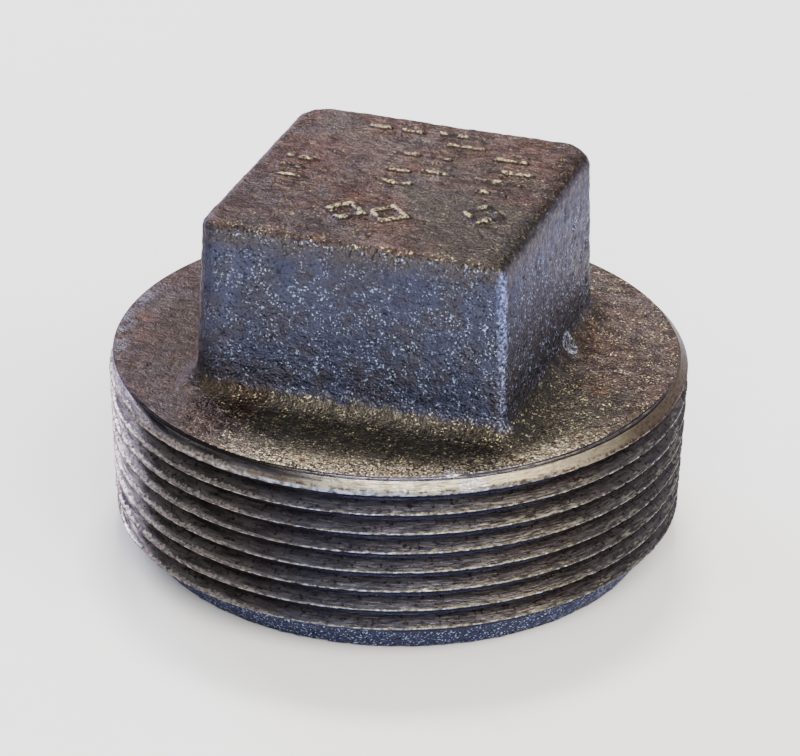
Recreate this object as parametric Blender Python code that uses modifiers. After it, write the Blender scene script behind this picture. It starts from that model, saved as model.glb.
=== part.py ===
"""Square-head pipe plug, nominal size 2 inch, with a right-hand external taper pipe thread.

One iron casting: a square wrench head on a round collar, a threaded barrel below it and a recess
cored into the underside. The barrel and the edge of the collar are turned, then threaded.

Metres, +Z up. The origin is at the centre of the bottom face. The flats of the head face +X, -X,
+Y and -Y.
"""

import math

import bmesh
import bpy
from mathutils import Vector

MM = 0.001
INCH = 25.4 * MM

# Overall heights
COLLAR_TOP = 20.7 * MM
HEAD_TOP = 39.35 * MM

# Taper pipe thread, 11.5 turns to the inch, 1 in 16 on the diameter
PITCH = INCH / 11.5
TAPER = 1 / 32
CREST_RADIUS = 29.70 * MM
THREAD_DEPTH = 1.55 * MM
CREST_FLAT = 0.16 * MM
ROOT_FLAT = 0.12 * MM
THREAD_START = math.radians(18.0)
TOP_CREST = 19.25 * MM
EXTRA_TURNS = 2

# Between these heights the groove runs out of the metal
RUNOUT_START = 19.85 * MM
RUNOUT_END = 20.45 * MM

# Turned edges of the barrel
CAST_EDGE_RADIUS = 29.25 * MM
SHOULDER_Z = 19.55 * MM

# As-cast nose below the thread: a cone, then a steeper ledge up to the barrel
NOSE_RADIUS = 26.75 * MM
NOSE_TOP = 2.6 * MM
NOSE_SLOPE = 0.55
LEDGE_SLOPE = 2.05

# Square head, measured across opposite flats, drafted so that it leaves the mould
FLATS_AT_TOP = 32.5 * MM
FLATS_AT_COLLAR = 33.7 * MM
TOP_EDGE_RADIUS = 1.3 * MM
FOOT_FILLET = 2.6 * MM

# Upright corners of the head, anticlockwise from the one between +X and +Y
CORNER_RADII = (3.9 * MM, 3.6 * MM, 2.5 * MM, 1.0 * MM)
LEAST_CORNER = 0.1 * MM

# Recess cored into the underside
MOUTH_RADIUS = 22.0 * MM
RECESS_RADIUS = 21.4 * MM
RECESS_DEPTH = 13.8 * MM
RECESS_FILLET = 4.0 * MM
POCKET_ROOF = 33.4 * MM
POCKET_FLATS = 20.0 * MM
POCKET_CORNERS = (4.5 * MM,) * 4
POCKET_FILLET = 2.0 * MM

# Facets
TURN_STEPS = 64
CORNER_STEPS = 6
FILLET_STEPS = 4
OVERRUN = 1.5 * MM
GROOVE_CLEARANCE = 0.8 * MM
MERGE = 1e-6
SHARP_ANGLE = math.radians(28)


def clear_scene():
    """Remove everything that is in the scene."""
    for item in list(bpy.data.objects):
        bpy.data.objects.remove(item, do_unlink=True)


def new_collection(name):
    """A collection linked to the scene."""
    collection = bpy.data.collections.new(name)
    bpy.context.scene.collection.children.link(collection)
    return collection


def new_object(name, mesh, collection):
    """An object that shows the mesh, in the collection."""
    item = bpy.data.objects.new(name, mesh)
    collection.objects.link(item)
    return item


def make_cutter(item):
    """Keep a helper out of renders and draw it as wire."""
    item.hide_render = True
    item.display_type = "WIRE"


def black_iron():
    """Malleable iron with its dark heat scale."""
    material = bpy.data.materials.new("black_malleable_iron")
    material.use_nodes = True
    shader = material.node_tree.nodes["Principled BSDF"]
    shader.inputs["Base Color"].default_value = (0.105, 0.095, 0.095, 1.0)
    shader.inputs["Roughness"].default_value = 0.42
    shader.inputs["Metallic"].default_value = 0.85
    return material


def arc(centre, radius, start, stop, steps=FILLET_STEPS):
    """Points along an arc in a plane, from one angle to another in radians."""
    points = []
    for step in range(steps + 1):
        angle = start + (stop - start) * step / steps
        x = centre[0] + radius * math.cos(angle)
        y = centre[1] + radius * math.sin(angle)
        points.append((x, y))
    return points


def turned(name, profile, collection):
    """A solid of revolution about Z from points (radius, height) that run downwards."""
    bm = bmesh.new()
    points = [bm.verts.new((radius, 0, height)) for radius, height in profile]
    for upper, lower in zip(points, points[1:]):
        bm.edges.new((upper, lower))
    mesh = bpy.data.meshes.new(name)
    bm.to_mesh(mesh)
    bm.free()
    item = new_object(name, mesh, collection)
    screw = item.modifiers.new("turn", "SCREW")
    screw.axis = "Z"
    screw.angle = math.tau
    screw.steps = TURN_STEPS
    screw.render_steps = TURN_STEPS
    screw.use_merge_vertices = True
    screw.merge_threshold = MERGE
    return item


def rounded_square(flats, radii):
    """Outline of a square with its four corner radii, anticlockwise, as (x, y)."""
    outline = []
    for quarter, radius in enumerate(radii):
        reach = flats / 2 - radius
        start = quarter * math.pi / 2
        side_x = reach if quarter in (0, 3) else -reach
        side_y = reach if quarter in (0, 1) else -reach
        outline += arc((side_x, side_y), radius, start, start + math.pi / 2, CORNER_STEPS)
    return outline


def offset_radii(radii, out):
    """Corner radii of a rounded square after its outline moves out by a distance."""
    return [max(radius + out, LEAST_CORNER) for radius in radii]


def lofted(name, sections, collection):
    """A closed solid through rounded squares, each given as (height, flats, radii), upwards."""
    bm = bmesh.new()
    rings = []
    for height, flats, radii in sections:
        ring = [bm.verts.new((x, y, height)) for x, y in rounded_square(flats, radii)]
        rings.append(ring)
    for lower, upper in zip(rings, rings[1:]):
        bmesh.ops.bridge_loops(bm, edges=ring_edges(bm, lower) + ring_edges(bm, upper))
    bm.faces.new(reversed(rings[0]))
    bm.faces.new(rings[-1])
    bmesh.ops.recalc_face_normals(bm, faces=bm.faces)
    mesh = bpy.data.meshes.new(name)
    bm.to_mesh(mesh)
    bm.free()
    return new_object(name, mesh, collection)


def ring_edges(bm, ring):
    """The closed chain of edges through a ring of vertices, made where missing."""
    edges = []
    for first, second in zip(ring, ring[1:] + ring[:1]):
        edges.append(bm.edges.get((first, second)) or bm.edges.new((first, second)))
    return edges


def crest_radius(height):
    """Radius of the thread's crests at a height above the bottom face."""
    return CREST_RADIUS + TAPER * height


def smooth_step(low, high, value):
    """0 up to low, 1 from high, and a smooth rise between."""
    share = min(max((value - low) / (high - low), 0), 1)
    return share * share * (3 - 2 * share)


def barrel_blank(name, collection):
    """The blank before threading: collar edge, tapered barrel and as-cast nose."""
    nose_radius = NOSE_RADIUS + NOSE_SLOPE * NOSE_TOP
    ledge_rise = (crest_radius(NOSE_TOP) - nose_radius) / (LEDGE_SLOPE - TAPER)
    ledge_top = NOSE_TOP + ledge_rise
    profile = [
        (0, COLLAR_TOP),
        (CAST_EDGE_RADIUS, COLLAR_TOP),
        (crest_radius(SHOULDER_Z), SHOULDER_Z),
        (crest_radius(ledge_top), ledge_top),
        (nose_radius, NOSE_TOP),
        (NOSE_RADIUS, 0),
        (0, 0),
    ]
    return turned(name, profile, collection)


def wrench_head(collection):
    """The square head: a fillet at its foot, drafted flats and a rounded top edge."""
    foot_radii = offset_radii(CORNER_RADII, FOOT_FILLET)
    sections = [(COLLAR_TOP - OVERRUN, FLATS_AT_COLLAR + 2 * FOOT_FILLET, foot_radii)]
    for out, up in arc((FOOT_FILLET, FOOT_FILLET), FOOT_FILLET, -math.pi / 2, -math.pi):
        flats = flats_at(COLLAR_TOP + up) + 2 * out
        sections.append((COLLAR_TOP + up, flats, offset_radii(CORNER_RADII, out)))
    centre = HEAD_TOP - TOP_EDGE_RADIUS
    for out, up in arc((-TOP_EDGE_RADIUS, centre), TOP_EDGE_RADIUS, 0, math.pi / 2):
        sections.append((up, flats_at(up) + 2 * out, offset_radii(CORNER_RADII, out)))
    return lofted("wrench_head", sections, collection)


def flats_at(height):
    """Size across the head's flats at a height, along the draft."""
    share = (height - COLLAR_TOP) / (HEAD_TOP - COLLAR_TOP)
    return FLATS_AT_COLLAR + share * (FLATS_AT_TOP - FLATS_AT_COLLAR)


def groove_section(radius):
    """The groove's section as (radius, height from its middle), from its root outwards."""
    root = radius - THREAD_DEPTH
    mouth = (PITCH - CREST_FLAT) / 2
    outside = radius + GROOVE_CLEARANCE
    return [
        (root, ROOT_FLAT / 2),
        (root, -ROOT_FLAT / 2),
        (radius, -mouth),
        (outside, -mouth),
        (outside, mouth),
        (radius, mouth),
    ]


def thread_groove(collection):
    """The right-hand helical groove, which starts below the nose and runs out at the collar."""
    bm = bmesh.new()
    rings = []
    turns = math.ceil(TOP_CREST / PITCH) + EXTRA_TURNS
    for step in range(turns * TURN_STEPS + 1):
        angle = THREAD_START - math.pi / 2 + math.tau * step / TURN_STEPS
        middle = TOP_CREST + PITCH / 2 - PITCH * turns + PITCH * (1 + step / TURN_STEPS)
        outward = Vector((math.cos(angle), math.sin(angle), 0))
        retreat = THREAD_DEPTH * smooth_step(RUNOUT_START, RUNOUT_END, middle)
        ring = []
        for radius, rise in groove_section(crest_radius(middle)):
            place = outward * (radius + retreat) + Vector((0, 0, middle + rise))
            ring.append(bm.verts.new(place))
        rings.append(ring)
    for first, second in zip(rings, rings[1:]):
        for here, there in zip(range(len(first)), list(range(1, len(first))) + [0]):
            bm.faces.new((first[here], first[there], second[there], second[here]))
    bm.faces.new(reversed(rings[0]))
    bm.faces.new(rings[-1])
    bmesh.ops.recalc_face_normals(bm, faces=bm.faces)
    mesh = bpy.data.meshes.new("thread_groove")
    bm.to_mesh(mesh)
    bm.free()
    return new_object("thread_groove", mesh, collection)


def cored_recess(collection):
    """The round hollow in the barrel, open at the bottom face."""
    fillet = arc(
        (RECESS_RADIUS - RECESS_FILLET, RECESS_DEPTH - RECESS_FILLET),
        RECESS_FILLET,
        math.pi / 2,
        0,
    )
    profile = [(0, RECESS_DEPTH)] + fillet
    profile += [(MOUTH_RADIUS, 0), (MOUTH_RADIUS, -OVERRUN), (0, -OVERRUN)]
    return turned("cored_recess", profile, collection)


def head_pocket(collection):
    """The square hollow that carries on from the recess into the head."""
    sections = [(RECESS_DEPTH - OVERRUN, POCKET_FLATS, POCKET_CORNERS)]
    centre = POCKET_ROOF - POCKET_FILLET
    for out, up in arc((-POCKET_FILLET, centre), POCKET_FILLET, 0, math.pi / 2):
        sections.append((up, POCKET_FLATS + 2 * out, offset_radii(POCKET_CORNERS, out)))
    return lofted("head_pocket", sections, collection)


def combine(item, other, operation):
    """Add one exact Boolean to an object."""
    boolean = item.modifiers.new(other.name, "BOOLEAN")
    boolean.operation = operation
    boolean.solver = "EXACT"
    boolean.object = other


def freeze(item):
    """Turn an object's modifiers into its mesh, smooth but for its sharp edges."""
    graph = bpy.context.evaluated_depsgraph_get()
    mesh = bpy.data.meshes.new_from_object(item.evaluated_get(graph))
    item.modifiers.clear()
    item.data = mesh
    mesh.shade_smooth()
    mesh.set_sharp_from_angle(angle=SHARP_ANGLE)


def plug_casting(parts, cutters):
    """The whole casting: blank and head in one, then the thread and the hollows cut away."""
    casting = barrel_blank("plug_casting", parts)
    head = wrench_head(cutters)
    combine(casting, head, "UNION")
    helpers = [head]
    for cutter in (thread_groove(cutters), cored_recess(cutters), head_pocket(cutters)):
        combine(casting, cutter, "DIFFERENCE")
        helpers.append(cutter)
    for helper in helpers:
        make_cutter(helper)
    freeze(casting)
    casting.data.materials.clear()
    casting.data.materials.append(black_iron())
    return casting


def main():
    clear_scene()
    parts = new_collection("square_head_pipe_plug")
    cutters = new_collection("cutters")
    plug_casting(parts, cutters)


main()
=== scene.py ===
"""Square-head pipe plug: the finished look of the iron casting.

The visible casting is one closed mesh that stands for the CAD node. Its head and collar carry the
sandy skin of a casting, its thread is a true right-hand helix with worn, nicked crests, and its
underside is cored. Lengths are in millimetres until the mesh is made. The front is -Y, and the
camera stands a little to the +X side of it.
"""

import math

import bpy
import numpy as np
from mathutils import Matrix, Vector, noise


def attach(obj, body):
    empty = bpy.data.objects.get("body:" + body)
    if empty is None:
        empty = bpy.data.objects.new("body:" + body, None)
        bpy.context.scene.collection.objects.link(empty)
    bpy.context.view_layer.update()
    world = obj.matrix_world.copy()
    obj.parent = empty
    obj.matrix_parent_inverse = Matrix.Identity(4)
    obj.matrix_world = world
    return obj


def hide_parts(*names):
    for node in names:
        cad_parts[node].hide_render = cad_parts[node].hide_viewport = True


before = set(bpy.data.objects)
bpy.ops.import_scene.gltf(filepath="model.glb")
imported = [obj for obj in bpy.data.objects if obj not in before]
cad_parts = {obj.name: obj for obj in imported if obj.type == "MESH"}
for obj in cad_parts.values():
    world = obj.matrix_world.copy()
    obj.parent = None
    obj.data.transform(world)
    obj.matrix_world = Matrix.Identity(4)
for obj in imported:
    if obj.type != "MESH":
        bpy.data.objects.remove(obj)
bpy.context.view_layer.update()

MM = 0.001
NODE = "plug_casting"
SKIN_NAME = "plug_casting_skin"

# Heights
HEAD_TOP = 39.35
COLLAR_TOP = 20.7

# Taper pipe thread
PITCH = 25.4 / 11.5
TAPER = 1 / 32
CREST_RADIUS = 29.70
THREAD_DEPTH = 1.55
CREST_FLAT = 0.11
ROOT_FLAT = 0.12
THREAD_START = math.radians(18.0 - 90.0)
TOP_CREST = 19.25
# The groove runs out between these heights of its middle
RUNOUT = (19.85, 20.45)
# Wear and nicks reach about this far down from a crest
CREST_BAND = 0.28

# Turned edges. The cast collar sits slightly off centre, so the turned bevel round it varies.
CAST_EDGE_RADIUS = 29.25
EDGE_SWELL = 0.62
SWELL_BEARING = math.radians(-132.0)
SHOULDER_Z = 19.55
NOSE_RADIUS = 26.75
NOSE_SLOPE = 0.55
NOSE_TOP = 2.6
NOSE_LEDGE = 1.5
EDGE_BREAK = 0.12
# Share of the thread's depth that the materials are told of where there is no thread
PLAIN_SUNK = 0.3
# The narrow step inside the bevel starts this far in from the bevel's edge, and then goes
# through these distances from it, with their drop and the darkness of the shade painted there
STEP_REACH = 0.78
EDGE_STEP = [
    (0.71, 0.07, 0.95),
    (0.64, 0.14, 0.9),
    (0.56, 0.16, 0.2),
    (0.46, 0.17, 0.2),
    (0.40, 0.31, 1.0),
    (0.30, 0.34, 1.0),
    (0.16, 0.22, 0.7),
]
# The step runs round this much of the edge: its middle, full reach and end
STEP_SPAN = tuple(math.radians(a) for a in (-72.0, 58.0, 80.0))
# and round this much of it shows as two lines
DOUBLE_SPAN = tuple(math.radians(a) for a in (-50.0, 34.0, 54.0))
# Its distances are scaled by the first of these where it has died out. One line adds the second,
# and two lines add the third as well. One line is painted this dark with shade all over.
STEP_WIDTHS = (0.2, 0.35, 0.45)
SINGLE_DARK = 0.97

# Square head
FLATS_AT_TOP = 32.5
FLATS_AT_COLLAR = 33.7
# Upright corners, anticlockwise from the one between +X and -Y
CORNER_RADII = np.array([1.0, 3.9, 3.6, 2.5])
TOP_EDGE_RADIUS = 1.3
FOOT_FILLET = 2.6
SMALLEST_CORNER = 0.1

# Cored underside
RIM_INSET = 0.1
MOUTH_BREAK = 0.3
MOUTH_RADIUS = 22.0
RECESS_RADIUS = 21.4
RECESS_ROOF = 13.8
RECESS_FILLET = 4.0
POCKET_ENTRY = 1.2
POCKET_ROOF = 33.4
POCKET_FLATS = 20.0
POCKET_CORNER = 4.5
POCKET_FILLET = 2.0

# Mesh density
SIDE_COLUMNS = 160
COLUMNS = 4 * SIDE_COLUMNS
SKIN_ROW = 0.24
CORE_ROW = 0.6
FLANK_ROWS = 6
RIM_ROWS = 12
RECESS_FILLET_ROWS = 10
POCKET_ENTRY_ROWS = 5
POCKET_FILLET_ROWS = 6
# The first row down a flank is this share of the pitch from the crest's edge, to keep it crisp
CREST_HOLD = 0.02
# Rows of the thread closer than this to the barrel's end rings, or past them, are merged into them
ROW_GAP = 0.03

QUARTER = math.pi / 2


# --- The mesh, built as closed rings of vertices from the top of the head to the pocket's roof ---


# The values at each point that the materials read, in the order of Skin.add
MATERIAL_VALUES = ("turned", "core", "sunk", "shoulder")


class Skin:
    """Points and faces of a mesh, with named values at each point."""

    def __init__(self):
        self.points = []
        self.values = []
        self.faces = []
        self.count = 0

    def add(self, points, turned=0.0, core=0.0, sunk=0.0, shoulder=0.0, crest=0.0):
        """Add points with their values, and return their numbers."""
        points = np.asarray(points, float).reshape(-1, 3)
        values = np.zeros((len(points), 5))
        for column, value in enumerate((turned, core, sunk, shoulder, crest)):
            values[:, column] = value
        first = self.count
        self.points.append(points)
        self.values.append(values)
        self.count += len(points)
        return np.arange(first, self.count)

    def join(self, upper, lower):
        """Join two closed rings of the same count by quads."""
        self.faces += np.stack([upper, lower, np.roll(lower, -1), np.roll(upper, -1)], 1).tolist()

    def thin(self, fine, coarse):
        """Join a closed ring to one with half as many points."""
        wide = np.roll(fine, -2)[::2]
        middle = fine[1::2]
        after = np.roll(coarse, -1)
        self.faces += np.stack([fine[::2], coarse, middle], 1).tolist()
        self.faces += np.stack([middle, coarse, after], 1).tolist()
        self.faces += np.stack([middle, after, wide], 1).tolist()

    def all_points(self):
        """Every point, as one array."""
        return np.concatenate(self.points)

    def all_values(self):
        """Every point's values, as one array."""
        return np.concatenate(self.values)


def arc(centre, radius, start, stop, steps):
    """Points along an arc in a plane, from one angle to another in radians."""
    angles = np.linspace(start, stop, steps + 1)
    return [(centre[0] + radius * math.cos(a), centre[1] + radius * math.sin(a)) for a in angles]


def square_side(flats, first, last, columns):
    """Evenly spaced points up a square's +X side, from the middle of one corner to the next."""
    straight = flats - first - last
    turn = first * math.pi / 4
    along = np.arange(columns) / columns * (turn + straight + last * math.pi / 4)
    before = np.minimum(along - turn, 0) / first
    beyond = np.maximum(along - turn - straight, 0) / last
    x = flats / 2 - first * (1 - np.cos(before)) - last * (1 - np.cos(beyond))
    y = np.clip(along - turn, 0, straight) + first * (1 + np.sin(before)) + last * np.sin(beyond)
    return x, y - flats / 2


def square_ring(flats, corners, height, columns=SIDE_COLUMNS):
    """Ring on a square with four corner radii, from the diagonal between +X and -Y."""
    radii = np.broadcast_to(corners, 4)
    ring = []
    for side in range(4):
        x, y = square_side(flats, radii[side], radii[(side + 1) % 4], columns)
        ring.append([(x, y), (-y, x), (-x, -y), (y, -x)][side])
    ring = np.concatenate([np.stack(pair, 1) for pair in ring])
    return np.column_stack([ring, np.full(len(ring), height)])


def ring_angles(columns=SIDE_COLUMNS):
    """Polar angles of a round ring's points, which start on the same diagonal as square_ring's."""
    return -math.pi / 4 + np.arange(4 * columns) * QUARTER / columns


def round_ring(radius, height, columns=SIDE_COLUMNS):
    """Ring on a circle whose points match those of square_ring. Radius may vary round it."""
    angle = ring_angles(columns)
    return np.column_stack(
        [radius * np.cos(angle), radius * np.sin(angle), np.full(len(angle), height)]
    )


def flats_at(height):
    """Size across the head's flats at a height, along the draft."""
    share = (height - COLLAR_TOP) / (HEAD_TOP - COLLAR_TOP)
    return FLATS_AT_COLLAR + share * (FLATS_AT_TOP - FLATS_AT_COLLAR)


def rows_for(length, row=SKIN_ROW):
    """How many rows of about the usual depth fill a length."""
    return max(2, round(length / row))


def cap(skin, ring, upward):
    """Fill a ring made by square_ring with a square grid whose edge is that ring."""
    n = len(ring) // 4
    points = skin.all_points()[ring]
    grid = np.zeros((n + 1, n + 1), int)
    grid[n, :] = ring[: n + 1]
    grid[::-1, n] = ring[n : 2 * n + 1]
    grid[0, ::-1] = ring[2 * n : 3 * n + 1]
    grid[:, 0] = np.append(ring[3 * n :], ring[0])
    index = grid - ring[0]
    share = np.linspace(0, 1, n + 1)
    u, v = share[:, None, None], share[None, :, None]
    left, right = points[index[0, :]][None], points[index[n, :]][None]
    near, far = points[index[:, 0]][:, None], points[index[:, n]][:, None]
    corners = (1 - u) * ((1 - v) * near[0] + v * far[0]) + u * ((1 - v) * near[n] + v * far[n])
    inside = (1 - u) * left + u * right + (1 - v) * near + v * far - corners
    core = skin.all_values()[ring[0], MATERIAL_VALUES.index("core")]
    grid[1:n, 1:n] = skin.add(inside[1:n, 1:n], core=core).reshape(n - 1, n - 1)
    quads = np.stack([grid[:-1, :-1], grid[1:, :-1], grid[1:, 1:], grid[:-1, 1:]], -1)
    quads = quads.reshape(-1, 4)
    skin.faces += (quads if upward else quads[:, ::-1]).tolist()


def head_section(out, up):
    """Height, flats and corner radii of the head, with its surface moved out by so much."""
    return up, flats_at(up) + 2 * out, np.maximum(CORNER_RADII + out, SMALLEST_CORNER)


def head(skin):
    """The square head, from its top face down to the foot of its fillet. Returns the last ring."""
    centre = HEAD_TOP - TOP_EDGE_RADIUS
    foot = COLLAR_TOP + FOOT_FILLET
    edge_rows = rows_for(TOP_EDGE_RADIUS * QUARTER)
    edge = arc((-TOP_EDGE_RADIUS, centre), TOP_EDGE_RADIUS, QUARTER, 0, edge_rows)
    sides = [(0.0, up) for up in np.linspace(centre, foot, rows_for(centre - foot) + 1)[1:-1]]
    fillet_rows = rows_for(FOOT_FILLET * QUARTER)
    fillet = arc((FOOT_FILLET, foot), FOOT_FILLET, -math.pi, -QUARTER, fillet_rows)
    sections = [head_section(out, up) for out, up in edge + sides + fillet]
    rings = [skin.add(square_ring(flats, corner, up)) for up, flats, corner in sections]
    cap(skin, rings[0], upward=True)
    for upper, lower in zip(rings, rings[1:]):
        skin.join(upper, lower)
    return rings[-1]


def crest_radius(height):
    """Radius of the thread's crests at a height above the bottom face."""
    return CREST_RADIUS + TAPER * height


def crest_height(angle):
    """Height of one helical crest line at a polar angle, the topmost whole one at THREAD_START."""
    return TOP_CREST + PITCH * (angle - THREAD_START) / math.tau


def cast_edge(angle):
    """Radius where the turned bevel starts at the collar's top."""
    return CAST_EDGE_RADIUS + EDGE_SWELL * (1 + np.cos(angle - SWELL_BEARING)) / 2


def thread_form(angle, height):
    """The barrel's radius, with crest, share of the depth, shoulder and nose for the materials."""
    turns = (crest_height(angle) - height) / PITCH
    middle = crest_height(angle) - PITCH * (np.floor(turns) + 0.5)
    away = np.maximum(np.abs(height - middle) - ROOT_FLAT / 2, 0)
    flank = (PITCH - CREST_FLAT - ROOT_FLAT) / 2
    deepest = 1 - smooth(*RUNOUT, middle)
    sunk = np.clip(deepest - away / flank, 0, 1)
    threaded = crest_radius(height) - THREAD_DEPTH * sunk
    edge = cast_edge(angle)
    slope = (crest_radius(SHOULDER_Z) - edge) / (COLLAR_TOP - SHOULDER_Z)
    shoulder = edge + slope * (COLLAR_TOP - height)
    nose = NOSE_RADIUS + NOSE_SLOPE * height + NOSE_LEDGE * np.maximum(height - NOSE_TOP, 0)
    radius = np.minimum(np.minimum(threaded, shoulder), nose)
    crest = np.exp(-((sunk * THREAD_DEPTH / CREST_BAND) ** 2)) * (threaded <= shoulder)
    return radius, crest, sunk * (threaded <= shoulder), shoulder < threaded, nose < threaded


def within(span, angle):
    """1 within a span's reach of its middle, falling to 0 at its end."""
    middle, reach, end = span
    return smooth(math.cos(end), math.cos(reach), np.cos(angle - middle))


def collar(skin, foot):
    """The collar's cast face, from the head's foot to its edge. Returns the last ring."""
    inner = skin.all_points()[foot]
    angle = ring_angles()
    edge = thread_form(angle, np.full(COLUMNS, COLLAR_TOP))[0]
    cut = within(STEP_SPAN, angle)
    double = within(DOUBLE_SPAN, angle)
    plain, single, more = STEP_WIDTHS
    width = plain + (single + more * double) * cut
    outer = round_ring(edge - STEP_REACH * width, COLLAR_TOP)
    ring = foot
    steps = rows_for(CAST_EDGE_RADIUS - FLATS_AT_COLLAR / 2 - FOOT_FILLET)
    for share in np.linspace(0, 1, steps + 1)[1:]:
        next_ring = skin.add(inner * (1 - share) + outer * share)
        skin.join(ring, next_ring)
        ring = next_ring
    # The step's painted shade reaches the materials as sunk, and fades where the step dies out
    shade = np.minimum(1, 2 * cut)
    for inset, drop, dark in EDGE_STEP:
        step = round_ring(edge - inset * width, COLLAR_TOP)
        step[:, 2] -= drop * cut
        turned = cut + (1 - cut) * (1 - inset / STEP_REACH)
        shadow = np.maximum(dark, SINGLE_DARK * (1 - double))
        sunk = PLAIN_SUNK + (shadow - PLAIN_SUNK) * shade
        next_ring = skin.add(step, turned, sunk=sunk, shoulder=1 - shade)
        skin.join(ring, next_ring)
        ring = next_ring
    return ring


def thread_rows():
    """Where rows lie within one pitch, as shares of it down from the middle of a crest."""
    crest = CREST_FLAT / PITCH / 2
    root = ROOT_FLAT / PITCH / 2
    first = crest + CREST_HOLD
    lower = np.linspace(first, 0.5 - root, FLANK_ROWS)
    upper = np.linspace(0.5 + root, 1 - first, FLANK_ROWS)
    return np.concatenate([[-crest, crest], lower, upper])


def barrel(skin, above):
    """The threaded barrel, its rows following the helix. Returns the last ring."""
    rows = thread_rows()
    turns = math.ceil(COLLAR_TOP / PITCH) + 2
    down = (np.arange(-1, turns)[:, None] + rows[None, :]).ravel()
    angle = ring_angles()
    height = crest_height(angle)[:, None] - PITCH * down[None, :]
    top, bottom = COLLAR_TOP - EDGE_BREAK, EDGE_BREAK
    over = height > top - ROW_GAP
    under = height < bottom + ROW_GAP
    height = np.clip(height, bottom, top)
    radius, crest, sunk, shoulder, nose = thread_form(angle[:, None], height)
    points = np.stack(
        [radius * np.cos(angle)[:, None], radius * np.sin(angle)[:, None], height], -1
    )
    first = skin.add(points[:, 0], turned=1.0, sunk=PLAIN_SUNK, shoulder=1.0)
    values = [value.ravel() for value in (1.0 - nose, sunk, shoulder, crest)]
    turned, sunk, shoulder, crest = values
    numbers = skin.add(points, turned, sunk=sunk, shoulder=shoulder, crest=crest)
    numbers = numbers.reshape(points.shape[:2])
    last = skin.add(points[:, -1])
    numbers = np.where(over, first[:, None], np.where(under, last[:, None], numbers))
    # The helix drops by one pitch in a turn, so the last column joins the first one pitch on
    shifted = np.concatenate([np.repeat(first[:1], len(rows)), numbers[0, : -len(rows)]])
    following = np.concatenate([numbers[1:], shifted[None]])
    quads = np.stack([numbers[:, :-1], numbers[:, 1:], following[:, 1:], following[:, :-1]], -1)
    quads = quads.reshape(-1, 4)
    left = quads[:, 0] == quads[:, 1]
    right = quads[:, 2] == quads[:, 3]
    skin.faces += quads[~left & ~right].tolist()
    skin.faces += quads[left & ~right][:, [0, 2, 3]].tolist()
    skin.faces += quads[~left & right][:, :3].tolist()
    skin.join(above, first)
    return last


def recess_sections(columns):
    """Rings of the round recess, from its mouth up to the entry of the square pocket."""
    straight = RECESS_ROOF - RECESS_FILLET
    sections = []
    for up in np.linspace(MOUTH_BREAK, straight, rows_for(straight, CORE_ROW) + 1)[1:]:
        radius = MOUTH_RADIUS + (RECESS_RADIUS - MOUTH_RADIUS) * up / straight
        sections.append(round_ring(radius, up, columns))
    centre = (RECESS_RADIUS - RECESS_FILLET, straight)
    for radius, up in arc(centre, RECESS_FILLET, 0, QUARTER, RECESS_FILLET_ROWS)[1:]:
        sections.append(round_ring(radius, up, columns))
    flats, corner = POCKET_FLATS + 2 * POCKET_ENTRY, POCKET_CORNER + POCKET_ENTRY
    entry = square_ring(flats, corner, RECESS_ROOF, columns)
    start = sections[-1]
    for share in np.linspace(0, 1, rows_for(RECESS_RADIUS - POCKET_FLATS / 2, CORE_ROW))[1:]:
        sections.append(start * (1 - share) + entry * share)
    return sections


def pocket_sections(columns):
    """Rings of the square pocket, from its rounded entry up to its roof."""
    foot, roof = RECESS_ROOF + POCKET_ENTRY, POCKET_ROOF - POCKET_FILLET
    entry = arc((POCKET_ENTRY, foot), POCKET_ENTRY, -QUARTER, -math.pi, POCKET_ENTRY_ROWS)[1:]
    walls = np.linspace(foot, roof, rows_for(roof - RECESS_ROOF, CORE_ROW))[1:]
    fillet = arc((-POCKET_FILLET, roof), POCKET_FILLET, 0, QUARTER, POCKET_FILLET_ROWS)[1:]
    return [
        square_ring(POCKET_FLATS + 2 * out, POCKET_CORNER + out, up, columns)
        for out, up in entry + [(0.0, up) for up in walls] + fillet
    ]


def underside(skin, above):
    """The rim, the round recess and the square pocket inside the head."""
    radii = np.linspace(NOSE_RADIUS - RIM_INSET, MOUTH_RADIUS + MOUTH_BREAK, RIM_ROWS)
    ring = above
    for radius in radii:
        next_ring = skin.add(round_ring(radius, 0.0))
        skin.join(ring, next_ring)
        ring = next_ring
    columns = SIDE_COLUMNS // 2
    mouth = skin.add(round_ring(MOUTH_RADIUS, MOUTH_BREAK, columns), core=1.0)
    skin.thin(ring, mouth)
    ring = mouth
    for section in recess_sections(columns) + pocket_sections(columns):
        next_ring = skin.add(section, core=1.0)
        skin.join(ring, next_ring)
        ring = next_ring
    cap(skin, ring, upward=False)


# --- Raised marks on the head: plain bars and rings, no lettering ---

BAR_HALF_WIDTH = 0.36
MARK_HEIGHT = 0.36
MARK_SLOPE = 0.22
# Marks are only looked for this close to the top face
MARK_BAND = 0.5
# They are worn down to this share of their height by a noise of this size, seed and range
MARK_LEAST = 0.45
MARK_WEAR_NOISE = (1.1, 5)
MARK_WEAR_SPAN = (-0.35, 0.25)
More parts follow.
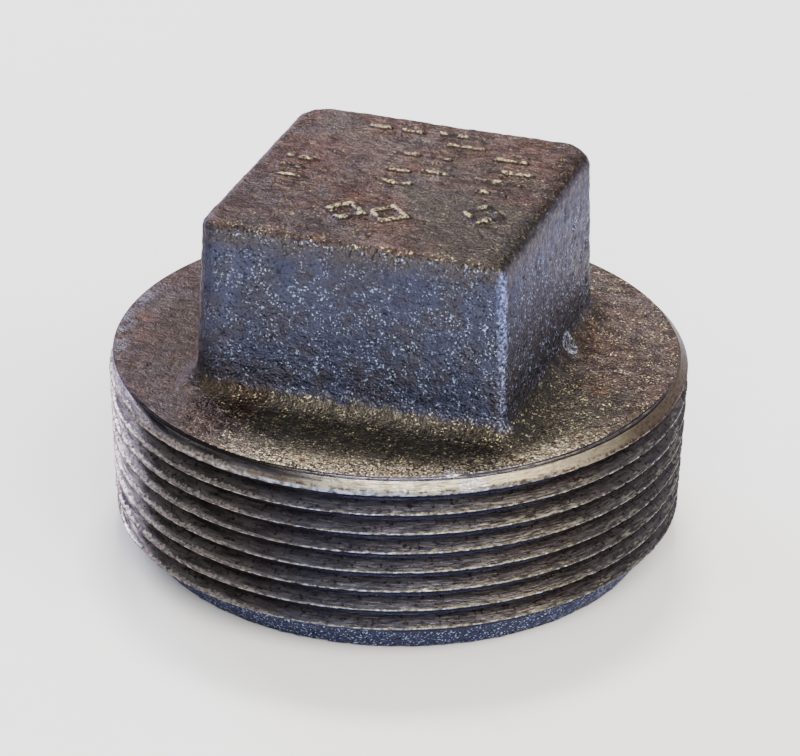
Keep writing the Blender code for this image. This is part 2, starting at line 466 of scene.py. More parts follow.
# Each bar is x, y of both ends, and each lozenge is x, y of its middle, on the head's top face.
BARS = [
    (-12.9, 1.8, -10.0, 1.8),
    (-12.9, -0.4, -10.8, -0.4),
    (-12.7, -2.6, -9.8, -2.6),
    (-7.3, 12.2, -5.4, 12.2),
    (-3.8, 12.2, -2.0, 12.2),
    (0.2, 12.7, 3.6, 12.7),
    (1.9, 10.2, 5.3, 10.2),
    (-2.8, 6.5, -0.5, 6.5),
    (0.8, 6.5, 3.0, 6.5),
    (-2.2, 2.3, -0.2, 2.3),
    (1.5, 2.8, 4.3, 2.8),
    (-1.8, -0.8, 1.0, -0.8),
    (7.5, 8.4, 10.6, 8.4),
    (7.8, 5.4, 12.0, 5.4),
    (8.0, 2.7, 11.6, 2.7),
    (8.2, 0.0, 10.8, 0.0),
]
LOZENGES = [(-2.9, -9.1), (1.4, -8.3), (10.4, -5.2)]
LOZENGE_REACH = 1.9


def mark_height(x, y):
    """How far the raised marks stand above the head's top face, from 0 to 1."""
    near = np.full(x.shape, np.inf)
    for ax, ay, bx, by in BARS:
        dx, dy = bx - ax, by - ay
        share = np.clip(((x - ax) * dx + (y - ay) * dy) / (dx * dx + dy * dy), 0, 1)
        near = np.minimum(near, np.hypot(x - ax - share * dx, y - ay - share * dy))
    for cx, cy in LOZENGES:
        away = np.abs(np.abs(x - cx) + np.abs(y - cy) - LOZENGE_REACH) / math.sqrt(2)
        near = np.minimum(near, away)
    return 1 - smooth(BAR_HALF_WIDTH - MARK_SLOPE, BAR_HALF_WIDTH + MARK_SLOPE, near)


# --- Surface detail ---

# How far a noise is shifted for each seed, and how each octave's height and fineness change
SEED_STEP = (17.3, 5.1, 29.7)
OCTAVE_STEP = (0.8, 2.1)
# Layers of the casting's sandy grain: depth, size, seed and octaves
GRAINS = [(0.055, 3.6, 1, 3), (0.060, 0.95, 2, 1), (0.036, 0.48, 3, 1)]
# Pits open as a noise of this size and seed rises through this range
PIT_DEPTH = 0.12
PIT_NOISE = (1.15, 4)
PIT_SPAN = (0.36, 0.62)
# Cored faces are rougher by this share
CORE_COARSER = 0.8
# The grain fades out between these distances from the turned edge
CALM = (2.0, 0.9)
# Waves left by the tool on turned faces: depth, size and seed
TOOL_WAVES = [(0.014, 0.7, 8), (0.012, 3.0, 9)]
# Nicks in the thread's crests: weight, size, seed and range of each noise, then the depth of the
# nicks and of the wear between them
NICKS = [(1.0, 0.5, 6, (0.15, 0.50)), (0.6, 1.5, 7, (0.30, 0.60))]
NICK_DEPTH = 0.09
CREST_LOSS = 0.01
# Wear and a painted highlight on the head's sharp corner set in between these distances along x
# and y from where its flats would meet, and between these heights. They stay within this radius,
# off the collar.
CORNER_SPAN = (-1.0, -0.5)
CORNER_RISE = (COLLAR_TOP + 0.6, COLLAR_TOP + 2.0)
HEAD_REACH = 25.0
# Each rubbed spot is x, y, z and radius, and is fully rubbed within this share of its radius
SCUFFS = [
    (17.2, 4.0, 21.9, 1.6),
    (13.9, -24.9, 20.7, 0.9),
    (17.0, -25.4, 20.0, 1.3),
    (15.6, -25.9, 20.1, 0.8),
]
SCUFF_CORE = 0.45


def field(points, size, seed, octaves=1):
    """Smooth noise from about -1 to 1 at each point, with features of about that size in mm."""
    shift = Vector([seed * step for step in SEED_STEP])
    spots = [Vector(p) / size + shift for p in points]
    if octaves == 1:
        return np.array([noise.noise(s) for s in spots])
    return np.array([noise.fractal(s, *OCTAVE_STEP, octaves) for s in spots])


def smooth(low, high, value):
    """0 at low and beyond, 1 at high and beyond, and smooth between."""
    share = np.clip((value - low) / (high - low), 0, 1)
    return share * share * (3 - 2 * share)


def corner_worn_highlight(points):
    """Wear and a painted highlight on the sharpest upright corner of the head, from 0 to 1."""
    reach = np.abs(points[:, 0]) + np.abs(points[:, 1])
    worn = smooth(*CORNER_SPAN, reach - flats_at(points[:, 2]))
    inside = smooth(*CORNER_RISE, points[:, 2])
    return worn * inside * (np.hypot(points[:, 0], points[:, 1]) < HEAD_REACH)


def scuffs(points):
    """Small rubbed spots, from 0 to 1."""
    found = np.zeros(len(points))
    for x, y, z, reach in SCUFFS:
        away = np.linalg.norm(points - (x, y, z), axis=1)
        found = np.maximum(found, 1 - smooth(SCUFF_CORE * reach, reach, away))
    return found


def beside_edge(points):
    """Where the cast face runs up to its turned edge, from 0 to 1."""
    inset = cast_edge(np.arctan2(points[:, 1], points[:, 0])) - np.hypot(points[:, 0], points[:, 1])
    return smooth(*CALM, inset) * (points[:, 2] > SHOULDER_Z)


def roughen(points, normals, values):
    """The casting's sandy skin, the worn marks and the nicks in the thread.

    Returns new points, and how much of a raised mark and of a rubbed spot each one is.
    """
    turned, core, _, _, crest = values.T
    grain = sum(depth * field(points, size, seed, count) for depth, size, seed, count in GRAINS)
    grain -= PIT_DEPTH * smooth(*PIT_SPAN, field(points, *PIT_NOISE))
    depth = (1 - turned) * grain * (1 + CORE_COARSER * core) * (1 - beside_edge(points))
    top = (points[:, 2] > HEAD_TOP - MARK_BAND) & (core < 0.5)
    wear = smooth(*MARK_WEAR_SPAN, field(points, *MARK_WEAR_NOISE))
    wear = MARK_LEAST + (1 - MARK_LEAST) * wear
    marks = np.where(top, mark_height(points[:, 0], points[:, 1]), 0.0) * wear
    depth += MARK_HEIGHT * marks
    nicks = sum(
        weight * smooth(*span, field(points, size, seed)) for weight, size, seed, span in NICKS
    )
    depth -= crest * (NICK_DEPTH * nicks + CREST_LOSS)
    depth += turned * sum(wave * field(points, size, seed) for wave, size, seed in TOOL_WAVES)
    return points + normals * depth[:, None], marks, scuffs(points)


def set_value(mesh, name, values):
    """Store one number for each vertex, for the materials to read."""
    layer = mesh.attributes.new(name, "FLOAT", "POINT")
    layer.data.foreach_set("value", np.asarray(values, np.float32))


def casting():
    """The whole visible casting as one object."""
    skin = Skin()
    foot = head(skin)
    edge = collar(skin, foot)
    nose = barrel(skin, edge)
    underside(skin, nose)
    # Points that the barrel merged into its end rings are left out
    used = np.unique(np.concatenate([np.array(face) for face in skin.faces]))
    renumber = np.zeros(skin.count, int)
    renumber[used] = np.arange(len(used))
    points, values = skin.all_points()[used], skin.all_values()[used]
    faces = [[int(renumber[i]) for i in face] for face in skin.faces]
    mesh = bpy.data.meshes.new(SKIN_NAME)
    mesh.from_pydata(points * MM, [], faces)
    normals = np.empty(len(points) * 3, np.float32)
    mesh.vertices.foreach_get("normal", normals)
    points, marks, rubbed = roughen(points, normals.reshape(-1, 3), values)
    mesh.vertices.foreach_set("co", (points * MM).astype(np.float32).ravel())
    mesh.shade_smooth()
    for name, column in zip(MATERIAL_VALUES, values.T):
        set_value(mesh, name, column)
    set_value(mesh, "mark", marks)
    set_value(mesh, "rubbed", rubbed)
    set_value(mesh, "corner", corner_worn_highlight(points))
    mesh.update()
    item = bpy.data.objects.new(SKIN_NAME, mesh)
    bpy.context.scene.collection.objects.link(item)
    return item


# --- Materials. Lengths are in mm, bearings in degrees from +X, and colours are linear. ---

# Cast sides: blue-black heat scale, going brown in places.
# Their blue is partly a painted cool reflection.
SCALE_REFLECTION_DARK = (0.037, 0.041, 0.076)
SCALE_REFLECTION_BLUE = (0.068, 0.074, 0.120)
SCALE_BROWN = (0.056, 0.050, 0.054)
SCALE_BELOW_EDGE = (0.070, 0.060, 0.057)
SCALE_REAR = (0.054, 0.053, 0.064)
SCALE_NOSE = (0.029, 0.036, 0.092)
SCALE_DUSTY = (0.050, 0.043, 0.043)
SCALE_SHADE = (0.042, 0.034, 0.031)
CORNER_HIGHLIGHT_BLUE = (0.118, 0.148, 0.315)
CORNER_GLINT = (0.34, 0.44, 0.86)
# Cast top faces: olive-brown, partly a painted warm light from above
TOP_GREY = (0.068, 0.057, 0.057)
TOP_BROWN = (0.072, 0.050, 0.041)
TOP_RED = (0.078, 0.044, 0.036)
TOP_SHADOW_OLIVE = (0.058, 0.056, 0.047)
TOP_NOOK_SHADE = (0.030, 0.026, 0.026)
TOP_LEE_SHADE = (0.036, 0.028, 0.020)
TOP_PALE_HIGHLIGHT = (0.150, 0.145, 0.180)
SOOT = (0.008, 0.007, 0.007)
# Painted light on the front of the collar's rim
RIM_PAINTED_LIGHT = (0.26, 0.235, 0.175)
UNDER = (0.044, 0.041, 0.046)
CORE = (0.045, 0.038, 0.034)
RUST = (0.110, 0.050, 0.030)
MARK_SHADE_OUTLINE = (0.012, 0.010, 0.010)
MARK_WORN_HIGHLIGHT = (0.42, 0.37, 0.22)
SCUFFED = (0.50, 0.53, 0.66)
# Glinting grains on the sides, on the top faces and near the collar's edge
GRAIN_BLUE = (0.34, 0.43, 0.64)
GRAIN_GOLD = (0.52, 0.45, 0.26)
GRAIN_EDGE = (0.86, 0.76, 0.52)
# Turned metal, brown on one side and stained on the other
STEEL_DARK = (0.054, 0.057, 0.082)
STEEL_PALE = (0.087, 0.083, 0.100)
STEEL_SCALED = (0.086, 0.074, 0.068)
STEEL_STAINED = (0.056, 0.046, 0.045)
STEEL_LINED = (0.110, 0.108, 0.108)
STEEL_STREAK_REFLECTION = (0.290, 0.270, 0.215)
STEEL_SPECK = (0.022, 0.012, 0.010)
ROOT_GRIME_AND_SHADE = (0.011, 0.009, 0.010)
ROOT_BLUE_REFLECTION = (0.014, 0.016, 0.042)
# The band beside a crest, and the crest itself
BAND = (0.21, 0.19, 0.15)
BAND_BRIGHT = (0.27, 0.24, 0.155)
BAND_SCALED = (0.285, 0.245, 0.220)
CREST_REFLECTION_BLUE = (0.26, 0.31, 0.47)
CREST_SCALED = (0.200, 0.172, 0.160)
CREST_STAINED = (0.150, 0.130, 0.100)
CREST_FLECK = (0.56, 0.57, 0.68)
# The bevel round the collar
BEVEL_DARK = (0.25, 0.230, 0.18)
BEVEL_BRIGHT = (0.52, 0.485, 0.40)
BEVEL_STAINED = (0.235, 0.190, 0.118)
BEVEL_BROWN = (0.095, 0.072, 0.050)
BEVEL_SCALED = (0.036, 0.030, 0.027)
BEVEL_GLARE = (0.090, 0.080, 0.084)
BEVEL_FOOT = (0.045, 0.018, 0.014)
BEVEL_LEDGE = (0.185, 0.155, 0.130)
BEVEL_BROW_SHADOW = (0.009, 0.008, 0.008)

BUMP_DEPTH = 0.16
METALLIC = 0.9
SPECULAR_TINT = (0.60, 0.57, 0.62)
PAPER_TINTS = [(0.86, 0.88, 0.90), (0.90, 0.91, 0.93)]
PAPER_ROUGHNESS = 0.9


class Shade:
    """Short calls that add nodes to one material. A colour is a socket or three numbers."""

    def __init__(self, name):
        self.material = bpy.data.materials.new(name)
        self.material.use_nodes = True
        self.tree = self.material.node_tree
        self.shader = self.tree.nodes["Principled BSDF"]
        self.place = self.node("ShaderNodeTexCoord").outputs["Object"]

    def node(self, kind, inputs=None, **settings):
        """A node with its settings, and inputs given by name or number."""
        made = self.tree.nodes.new(kind)
        for key, value in settings.items():
            setattr(made, key, value)
        for key, value in (inputs or {}).items():
            self.feed(made.inputs[key], value)
        return made

    def feed(self, socket, value):
        """Link an output to a socket, or set the socket's own value."""
        if isinstance(value, bpy.types.NodeSocket):
            self.tree.links.new(value, socket)
        elif socket.type == "RGBA":
            socket.default_value = (*value, 1.0)
        else:
            socket.default_value = value

    def value(self, name):
        """One of the mesh's stored values."""
        return self.node("ShaderNodeAttribute", attribute_name=name).outputs["Fac"]

    def math(self, operation, a, b, clamp=False):
        """A sum on two numbers."""
        made = self.node("ShaderNodeMath", {0: a, 1: b}, operation=operation, use_clamp=clamp)
        return made.outputs[0]

    def times(self, *factors):
        """Multiply two or more numbers."""
        product = factors[0]
        for factor in factors[1:]:
            product = self.math("MULTIPLY", product, factor)
        return product

    def most(self, *numbers):
        """The largest of two or more numbers."""
        largest = numbers[0]
        for number in numbers[1:]:
            largest = self.math("MAXIMUM", largest, number)
        return largest

    def noise(self, size, detail=3.0, place=None):
        """Noise with features of about that size, from 0 to 1."""
        inputs = {"Vector": place or self.place, "Scale": 1 / (size * MM), "Detail": detail}
        return self.node("ShaderNodeTexNoise", inputs).outputs["Fac"]

    def between(self, value, low, high, to_low=0.0, to_high=1.0):
        """Map a range of a value smoothly onto another."""
        inputs = {0: value, 1: low, 2: high, 3: to_low, 4: to_high}
        made = self.node("ShaderNodeMapRange", inputs, interpolation_type="SMOOTHSTEP")
        return made.outputs[0]

    def fade(self, share, to_low, to_high):
        """Map a share from 0 to 1 smoothly onto a range."""
        return self.between(share, 0.0, 1.0, to_low, to_high)

    def along(self, length, low, high, to_low=0.0, to_high=1.0):
        """Map a range of a length smoothly onto a range of numbers."""
        return self.between(length, low * MM, high * MM, to_low, to_high)

    def patches(self, size, low, high, to_low=0.0, to_high=1.0, detail=3.0, place=None):
        """Noise whose range from low to high is mapped smoothly onto another."""
        return self.between(self.noise(size, detail, place), low, high, to_low, to_high)

    def mix(self, share, a, b):
        """Mix two colours."""
        made = self.node("ShaderNodeMix", data_type="RGBA")
        for socket, value in ((made.inputs[0], share), (made.inputs[6], a), (made.inputs[7], b)):
            self.feed(socket, value)
        return made.outputs[2]

    def blend(self, share, a, b):
        """Mix two numbers."""
        return self.node("ShaderNodeMix", {0: share, 2: a, 3: b}).outputs[0]

    def scale(self, tint, factor):
        """Multiply a colour by a number."""
        return self.node("ShaderNodeVectorMath", {0: tint, 3: factor}, operation="SCALE").outputs[0]

    def length(self, vector):
        """A vector's length."""
        made = self.node("ShaderNodeVectorMath", {0: vector}, operation="LENGTH")
        return made.outputs["Value"]

    def bump(self, height, depth):
        """Turn a height from 0 to 1 into a normal."""
        return self.node("ShaderNodeBump", {"Height": height, "Distance": depth * MM}).outputs[0]


class IronShade(Shade):
    """The iron's material, with the places and regions that more than one of its parts uses."""

    def __init__(self, name):
        super().__init__(name)
        self.turned, self.core = self.value("turned"), self.value("core")
        self.sunk, self.shoulder = self.value("sunk"), self.value("shoulder")
        self.mark, self.rubbed = self.value("mark"), self.value("rubbed")
        self.corner = self.value("corner")
        facing = self.node("ShaderNodeNewGeometry").outputs["Normal"]
        self.up = self.node("ShaderNodeSeparateXYZ", {0: facing}).outputs["Z"]
        self.x, self.y, self.z = self.node("ShaderNodeSeparateXYZ", {0: self.place}).outputs
        self.around = self.math("ARCTAN2", self.y, self.x)
        flat = self.node("ShaderNodeCombineXYZ", {0: self.x, 1: self.y}).outputs[0]
        self.reach = self.length(flat)

        # Noises used more than once: clouds, fine grain, and the marks of the lathe
        self.cloud = self.noise(5.0)
        self.fine = self.noise(0.30)
        self.lathe = self.ringed(0.004)
        self.marks = self.noise(0.16, place=self.lathe)

        # Faces that look up, only the flatter ones near the head's top, and all of the collar's rim
        higher = self.along(self.z, 28.0, 34.0, 0.0, 0.22)
        facing_up = self.between(self.math("SUBTRACT", self.up, higher), 0.25, 0.62)
        brim = self.times(self.along(self.z, 19.0, 19.4), self.along(self.reach, 27.0, 27.5))
        self.upward = self.math("MAXIMUM", facing_up, brim)
        # The nose under the thread, the head's top face, and its strip along the +X edge
        self.low = self.along(self.z, 3.0, 4.5, 1.0, 0.0)
        self.crown = self.along(self.z, 37.5, 38.5)
        self.edge = self.along(self.x, 13.5, 15.0)
        # The collar in front of the head, and the collar's rim there
        inner = self.along(self.reach, 25.5, 27.5, 1.0, 0.0)
        off_crown = self.fade(self.crown, 1.0, 0.0)
        self.hollow = self.times(self.sector(-84.0, 16.0, 36.0), inner, off_crown)
        rim = self.times(self.along(self.reach, 24.5, 27.5), self.sector(-66.0, 24.0, 52.0))
        self.rim = self.times(rim, self.along(self.z, 20.0, 20.5))
        # Regions round the turned metal: brown scale, stain, clean metal and glare
        self.scaled = self.sector(-150.0, 40.0, 62.0)
        self.stained = self.sector(0.0, 42.0, 70.0)
        self.bright = self.sector(-50.0, 12.0, 26.0)
        below_bevel = self.along(self.z, 17.2, 18.8, 1.0, 0.35)
        self.glare = self.times(self.sector(-166.0, 14.0, 34.0), below_bevel)

    def sector(self, middle, reach, end):
        """1 within reach of a bearing round the axis, falling to 0 at its end."""
        away = self.math("COSINE", self.math("SUBTRACT", self.around, math.radians(middle)), 0.0)
        return self.between(away, math.cos(math.radians(end)), math.cos(math.radians(reach)))

    def ringed(self, stretch):
        """Coordinates that draw noise out round the barrel, the longer the smaller the number."""
        turn = self.math("MULTIPLY", self.around, stretch)
        inputs = {0: turn, 1: self.z, 2: self.length(self.place)}
        return self.node("ShaderNodeCombineXYZ", inputs).outputs[0]


def heat_scale_and_painted_light(s):
    """Blue-black heat scale on the casting's sides, its blue partly a painted cool reflection."""
    side = s.mix(s.cloud, SCALE_REFLECTION_DARK, SCALE_REFLECTION_BLUE)
    side = s.mix(s.patches(2.2, 0.42, 0.62, 0.0, 0.5, detail=4.0), side, SCALE_BROWN)
    below_edge = s.times(s.along(s.z, 36.2, 38.4), s.patches(0.7, 0.30, 0.62, 0.25, 0.85))
    side = s.mix(below_edge, side, SCALE_BELOW_EDGE)
    # Painted blue highlight along the worn sharp corner
    side = s.mix(s.times(s.corner, s.patches(0.6, 0.36, 0.60, 0.4, 1.0)), side, CORNER_HIGHLIGHT_BLUE)
    rear = s.times(s.along(s.y, -14.0, -8.0), s.along(s.x, 14.0, 15.2, 1.0, 0.0))
    side = s.mix(s.times(rear, 0.65), side, SCALE_REAR)
    # Navy on the nose, strongest at the front, is partly a painted cool reflection
    side = s.mix(s.times(s.low, s.along(s.y, -10.0, 10.0, 0.7, 0.25)), side, SCALE_NOSE)
    dusty = s.times(s.along(s.x, 15.0, 16.2), s.along(s.z, 26.0, 36.0, 1.0, 0.0))
    dusty = s.math("SUBTRACT", dusty, s.low, clamp=True)
    side = s.mix(s.times(dusty, 0.8), side, SCALE_DUSTY)
    # Painted shade: the head's front darkens where it turns into its -X side
    front = s.times(s.along(s.y, -15.0, -10.0, 1.0, 0.0), s.along(s.z, 19.5, 20.5))
    darker = s.times(front, s.along(s.x, -16.6, -13.0, 0.55, 0.0))
    side = s.scale(side, s.math("SUBTRACT", 1.0, darker))
    rounded = s.times(front, s.along(s.x, -16.2, -15.4, 0.8, 0.0))
    return s.mix(rounded, side, SCALE_SHADE)


def top_faces(s):
    """Olive-brown skin on the faces that look up, redder in clouds, with painted light and shade.
    """
    top = s.mix(s.between(s.cloud, 0.3, 0.7), TOP_GREY, TOP_BROWN)
    redder = s.patches(6.0, 0.42, 0.60, 0.0, 0.7, detail=4.0)
    redder = s.times(redder, s.fade(s.crown, 0.4, 1.0))
    redder = s.math("SUBTRACT", redder, s.times(s.hollow, 0.5), clamp=True)
    redder = s.times(redder, s.most(s.crown, s.along(s.z, 20.8, 21.6, 1.0, 0.1)))
    top = s.mix(redder, top, TOP_RED)
    top = s.scale(top, s.patches(1.6, 0.35, 0.65, 0.60, 1.30))
    # Painted shade on the faces that look up round bearing -150
    top = s.scale(top, s.fade(s.sector(-150.0, 30.0, 75.0), 1.0, 0.82))
    # A painted shadow darkens the collar at the head's front +X side; it and the collar in front
    # turn olive
    painted_shadow = s.times(s.sector(-36.0, 16.0, 38.0), s.along(s.reach, 25.5, 27.5, 1.0, 0.0))
    top = s.mix(s.times(s.most(painted_shadow, s.hollow), 0.7), top, TOP_SHADOW_OLIVE)
    top = s.scale(top, s.fade(painted_shadow, 1.0, 0.84))
    # Painted light lifts the collar in front of the head, which the lamps leave in shadow
    top = s.scale(top, s.fade(s.hollow, 1.0, 1.35))
    front = s.along(s.y, -12.0, 4.0, 0.82, 1.0)
    return s.scale(top, s.fade(s.times(s.crown, s.edge), front, 0.50))


def glints(s):
    """Where single grains of the skin glint, and their colour."""
    spark = s.between(s.noise(0.24, 1.0), s.fade(s.rim, 0.58, 0.52), 0.70)
    glint = s.times(spark, s.most(s.patches(1.3, 0.38, 0.62, detail=2.0), s.rim, s.low))
    lip = s.times(s.crown, s.along(s.y, -15.8, -14.8, 1.0, 0.0), s.fade(s.edge, 1.0, 0.0))
    spared = s.most(s.along(s.z, 34.0, 38.0, 1.0, 0.38), lip)
    sparse = s.most(s.along(s.x, -16.6, -9.5, 0.15, 1.0), s.low)
    tint = s.mix(s.upward, GRAIN_BLUE, GRAIN_GOLD)
    tint = s.mix(s.times(s.rim, 0.7), tint, GRAIN_EDGE)
    return s.times(glint, spared, sparse), tint


def cast_skin(s):
    """The sandy skin wherever the metal isn't turned."""
    # The blue of the sides and the brown of faces that look up are partly painted cool reflection
    # and warm light
    skin = s.mix(s.upward, heat_scale_and_painted_light(s), top_faces(s))
    # Painted shade in the nook at the foot of the head's front -X corner and beside it,
    # and a painted highlight on the pale rim
    nook = s.times(
        s.along(s.z, 20.4, 21.2),
        s.along(s.x, -13.5, -16.0),
        s.along(s.y, -9.0, -13.0),
        s.along(s.z, 24.0, 28.0, 1.0, 0.0),
    )
    skin = s.mix(s.times(nook, 0.45), skin, TOP_NOOK_SHADE)
    beside_head = s.times(
        s.along(s.reach, 23.5, 27.5, 1.0, 0.0), s.along(s.z, 22.5, 24.5, 1.0, 0.0)
    )
    lee = s.times(s.sector(-156.0, 26.0, 46.0), beside_head)
    skin = s.mix(s.times(lee, 0.65), skin, TOP_LEE_SHADE)
    pale = s.times(s.sector(-172.0, 8.0, 22.0), s.along(s.reach, 27.6, 29.0))
    skin = s.mix(s.times(pale, s.patches(1.2, 0.35, 0.6), 0.55), skin, TOP_PALE_HIGHLIGHT)
    sooty = s.times(s.between(s.fine, 0.30, 0.52, 0.80, 0.0), s.fade(s.hollow, 1.0, 0.6))
    skin = s.mix(sooty, skin, SOOT)
    # Painted light on the collar's rim in front of the head, where the head's shadow ends
    skin = s.mix(s.times(s.rim, s.patches(0.5, 0.40, 0.60), 0.60), skin, RIM_PAINTED_LIGHT)
    facing_down = s.between(s.up, -0.85, -0.60, 1.0, 0.0)
    skin = s.mix(s.times(facing_down, 0.8), skin, UNDER)
    glint, tint = glints(s)
    skin = s.mix(glint, skin, tint)
    sparkle = s.times(s.corner, s.patches(0.30, 0.52, 0.66, detail=2.0), 0.6)
    skin = s.mix(sparkle, skin, CORNER_GLINT)
    rust = s.times(s.patches(4.2, 0.60, 0.74), s.patches(0.7, 0.40, 0.58), s.upward)
    skin = s.mix(s.times(rust, 0.45), skin, RUST)
    # Painted shade round the foot of each raised mark, and a painted highlight on its worn top
    outline = s.times(s.between(s.mark, 0.03, 0.25), s.between(s.mark, 0.45, 0.75, 1.0, 0.0))
    skin = s.mix(s.times(outline, 0.75), skin, MARK_SHADE_OUTLINE)
    worn = s.times(s.between(s.mark, 0.50, 0.80), s.patches(0.30, 0.42, 0.60, detail=2.0))
    return s.mix(s.times(worn, 0.85), skin, MARK_WORN_HIGHLIGHT)


def flanks(s):
    """The thread's flanks and roots: marks run round the barrel, blotched, streaked and specked."""
    steel = s.mix(s.noise(3.4), STEEL_DARK, STEEL_PALE)
    steel = s.mix(s.times(s.scaled, 0.8), steel, STEEL_SCALED)
    steel = s.mix(s.times(s.stained, 0.85), steel, STEEL_STAINED)
    steel = s.mix(s.between(s.marks, 0.40, 0.70, 0.0, 0.30), steel, STEEL_LINED)
    darkest = s.fade(s.scaled, 0.80, 0.45)
    steel = s.scale(steel, s.patches(0.5, 0.36, 0.62, darkest, 1.30, detail=4.0, place=s.lathe))
    streaky = s.patches(0.35, 0.40, 0.60, 0.14, 1.75, place=s.ringed(0.0012))
    steel = s.scale(steel, s.fade(s.glare, 1.0, streaky))
    # Tool marks near the crests on the +X side, brightened into streaks of painted warm reflection
    streak = s.times(
        s.between(s.marks, 0.45, 0.62),
        s.between(s.sunk, 0.12, 0.55, 1.0, 0.0),
        s.stained,
        s.patches(6.0, 0.40, 0.60, detail=2.0),
    )
    steel = s.mix(s.times(streak, 0.75), steel, STEEL_STREAK_REFLECTION)
    steel = s.mix(s.patches(0.45, 0.56, 0.66, 0.0, 0.8), steel, STEEL_SPECK)
    # Grime and painted shade darken the roots, with a painted blue reflection in them towards the
    # front
    root = s.mix(s.sector(-64.0, 10.0, 30.0), ROOT_GRIME_AND_SHADE, ROOT_BLUE_REFLECTION)
    return s.mix(s.between(s.sunk, 0.76, 0.97, 0.0, 0.9), steel, root)


def crests(s, steel):
    """Lay the crests on the steel: a pale band, ragged where it is torn, with a line along it."""
    torn = s.fade(s.most(s.times(s.scaled, 0.9), s.times(s.bright, 0.6)), 0.18, 1.0)
    ragged = s.math("SUBTRACT", s.noise(0.45, 4.0), 0.40)
    ragged = s.times(ragged, torn, s.patches(5.0, 0.30, 0.60, 0.25, 1.0, detail=2.0))
    ragged = s.math("ADD", ragged, s.times(s.scaled, 0.07))
    band = s.between(s.math("SUBTRACT", s.sunk, ragged), 0.02, 0.10, 1.0, 0.0)
    tint = s.mix(s.scaled, s.mix(s.bright, BAND, BAND_BRIGHT), BAND_SCALED)
    tint = s.scale(tint, s.fade(s.glare, 1.0, 1.5))
    tint = s.scale(tint, s.between(s.fine, 0.30, 0.60, 0.45, 1.1))
    steel = s.mix(s.times(band, s.fade(s.stained, 0.85, 0.50)), steel, tint)
    # The line along each crest: worn metal with a painted blue highlight where it isn't scaled
    line = s.mix(s.scaled, CREST_REFLECTION_BLUE, CREST_SCALED)
    fleck = s.mix(s.patches(0.7, 0.55, 0.61), CREST_STAINED, CREST_FLECK)
    line = s.mix(s.times(s.stained, 0.85), line, fleck)
    crest = s.times(s.between(s.sunk, 0.0, 0.025, 1.0, 0.0), s.patches(0.8, 0.38, 0.58, 0.25, 0.9))
    steel = s.mix(crest, steel, line)
    mottle = s.patches(0.55, 0.38, 0.60, 0.35, 1.15)
    return s.scale(steel, s.between(s.sunk, 0.02, 0.12, mottle, 1.0))


def bevel(s):
    """The bevel round the collar: clean in front, dull round the rest."""
    clean = s.mix(s.marks, BEVEL_DARK, BEVEL_BRIGHT)
    clean = s.scale(clean, s.patches(0.9, 0.35, 0.62, 0.62, 1.15, detail=4.0))
    clean = s.mix(s.times(s.stained, 0.75), clean, BEVEL_STAINED)
    brown = s.mix(s.scaled, BEVEL_BROWN, BEVEL_SCALED)
    brown = s.mix(s.times(s.glare, 0.4), brown, BEVEL_GLARE)
    brown = s.scale(brown, s.between(s.fine, 0.3, 0.6, 0.7, 1.2))
    dull = s.math("SUBTRACT", 1.0, s.sector(-56.0, 24.0, 40.0))
    tint = s.mix(dull, clean, brown)
    foot = s.times(s.along(s.z, 19.65, 20.05, 1.0, 0.0), s.patches(0.5, 0.46, 0.56))
    tint = s.mix(s.times(foot, 0.8), tint, BEVEL_FOOT)
    ledge = s.times(s.scaled, s.along(s.z, 19.75, 20.10, 1.0, 0.0))
    ledge = s.times(ledge, s.patches(0.6, 0.35, 0.55, 0.4, 1.0), 0.8)
    return s.mix(ledge, tint, BEVEL_LEDGE)


def turned_metal(s):
    """The thread, the bevel, and a painted shadow line along the bevel's upper edge."""
    steel = s.mix(s.shoulder, crests(s, flanks(s)), bevel(s))
    # Painted shadow along the bevel's upper edge
    brow = s.times(s.along(s.z, 19.98, 20.30), s.sector(-121.0, 20.0, 38.0))
    return s.mix(s.times(brow, 0.9), steel, BEVEL_BROW_SHADOW)


def iron():
    """Black malleable iron: sandy heat scale where cast, brown-grey steel where turned, painted
    light in both.
    """
    s = IronShade("black_malleable_iron")
    base = s.mix(s.turned, cast_skin(s), turned_metal(s))
    base = s.mix(s.core, base, CORE)
    ring = s.times(s.between(s.rubbed, 0.05, 0.45), s.between(s.rubbed, 0.75, 1.0, 1.0, 0.35))
    scratched = s.times(ring, s.patches(0.24, 0.42, 0.58, detail=2.0))
    base = s.mix(s.times(scratched, 0.9), base, SCUFFED)
    rough_cast = s.patches(0.6, 0.3, 0.7, 0.30, 0.55)
    rough_turned = s.between(s.marks, 0.3, 0.7, 0.26, 0.42)
    rough = s.blend(s.turned, rough_cast, rough_turned)
    rough = s.blend(s.times(s.turned, s.shoulder, s.scaled), rough, 0.72)
    sand = s.math("ADD", s.noise(0.26), s.times(s.noise(0.7, 2.0), 1.2))
    sand = s.math("SUBTRACT", sand, 0.92)
    tooling = s.math("ADD", s.marks, s.times(s.noise(0.35), 0.6))
    relief = s.blend(s.turned, sand, s.times(tooling, 0.22))
    s.feed(s.shader.inputs["Base Color"], base)
    s.feed(s.shader.inputs["Roughness"], rough)
    s.feed(s.shader.inputs["Metallic"], METALLIC)
    s.feed(s.shader.inputs["Specular Tint"], SPECULAR_TINT)
    s.feed(s.shader.inputs["Normal"], s.bump(relief, BUMP_DEPTH))
    return s.material


def floor_paint():
    """Plain pale paper with the faintest tooth."""
    s = Shade("pale_paper")
    s.feed(s.shader.inputs["Base Color"], s.mix(s.noise(6.0), *PAPER_TINTS))
    s.feed(s.shader.inputs["Roughness"], PAPER_ROUGHNESS)
    return s.material


# --- Stage, lights and camera. Lengths are in mm, and turn 0 is -Y and turns towards +X. ---

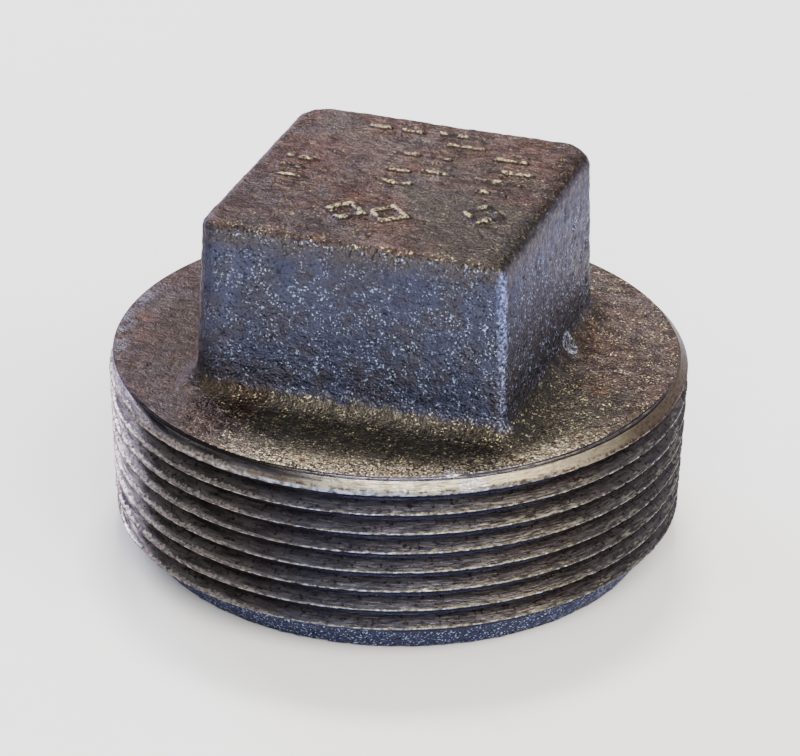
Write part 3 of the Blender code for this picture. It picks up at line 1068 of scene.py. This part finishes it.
VIEW_TURN = math.radians(18.4)
VIEW_RISE = math.radians(29.15)
VIEW_DISTANCE = 416.6
VIEW_AIM = (0.13, 0.04, 16.73)
VIEW_ROLL = math.radians(0.87)
VIEW_LENS = 175.2
CLIP = (10.0, 10000.0)

FLOOR_HALF = 3000.0
# The sandy rim dips this far below the CAD's bottom face
FLOOR_DROP = 0.12
SKY = (0.88, 0.91, 1.0, 1.0)
SKY_STRENGTH = 0.85
LIGHT_AIM = Vector((0, 0, 20.0))
# Soft boxes: turn from the camera's side and rise in degrees, distance, width, height, power, tint
LIGHTS = {
    "front_right": (22, 46, 650, 900, 330, 10.0, (1.0, 0.92, 0.78)),
    "back_high": (180, 65, 700, 170, 120, 5.5, (1.0, 0.93, 0.86)),
    "back_left": (-147, 23, 520, 190, 160, 2.75, (0.80, 0.78, 0.98)),
}


def direction(turn, rise):
    """Unit vector from the plug towards a place round it."""
    return Vector(
        (
            math.sin(turn) * math.cos(rise),
            -math.cos(turn) * math.cos(rise),
            math.sin(rise),
        )
    )


def place_object(name, data, location, rotation):
    """Add an object to the scene, with its location in mm and its rotation as a quaternion."""
    item = bpy.data.objects.new(name, data)
    bpy.context.scene.collection.objects.link(item)
    item.location = location * MM
    item.rotation_mode = "QUATERNION"
    item.rotation_quaternion = rotation
    return item


def camera():
    """The camera, level but for a slight roll."""
    data = bpy.data.cameras.new("camera")
    data.lens = VIEW_LENS
    data.clip_start, data.clip_end = CLIP[0] * MM, CLIP[1] * MM
    location = direction(VIEW_TURN, VIEW_RISE) * VIEW_DISTANCE
    level = (location - Vector(VIEW_AIM)).to_track_quat("Z", "Y").to_matrix()
    turn = level @ Matrix.Rotation(VIEW_ROLL, 3, "Z")
    bpy.context.scene.camera = place_object("camera", data, location, turn.to_quaternion())


def soft_light(name, turn, rise, distance, width, height, power, tint):
    """A soft box that faces the plug. Angles are in degrees from the camera's side."""
    data = bpy.data.lights.new(name, "AREA")
    data.shape = "RECTANGLE"
    data.size = width * MM
    data.size_y = height * MM
    data.energy = power
    data.color = tint
    back = direction(VIEW_TURN + math.radians(turn), math.radians(rise))
    location = back * distance + LIGHT_AIM
    item = place_object(name, data, location, back.to_track_quat("Z", "Y"))
    item.visible_camera = False


def stage():
    """Pale floor, soft world and studio lights."""
    half = FLOOR_HALF * MM
    corners = [(-half, -half, 0), (half, -half, 0), (half, half, 0), (-half, half, 0)]
    mesh = bpy.data.meshes.new("floor")
    mesh.from_pydata(corners, [], [(0, 1, 2, 3)])
    mesh.materials.append(floor_paint())
    floor = bpy.data.objects.new("floor", mesh)
    floor.location.z = -FLOOR_DROP * MM
    bpy.context.scene.collection.objects.link(floor)
    world = bpy.data.worlds.new("studio")
    world.use_nodes = True
    background = world.node_tree.nodes["Background"]
    background.inputs["Color"].default_value = SKY
    background.inputs["Strength"].default_value = SKY_STRENGTH
    bpy.context.scene.world = world
    for name, settings in LIGHTS.items():
        soft_light(name, *settings)


plug = casting()
plug.data.materials.append(iron())
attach(plug, "root")
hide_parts(NODE)
camera()
stage()
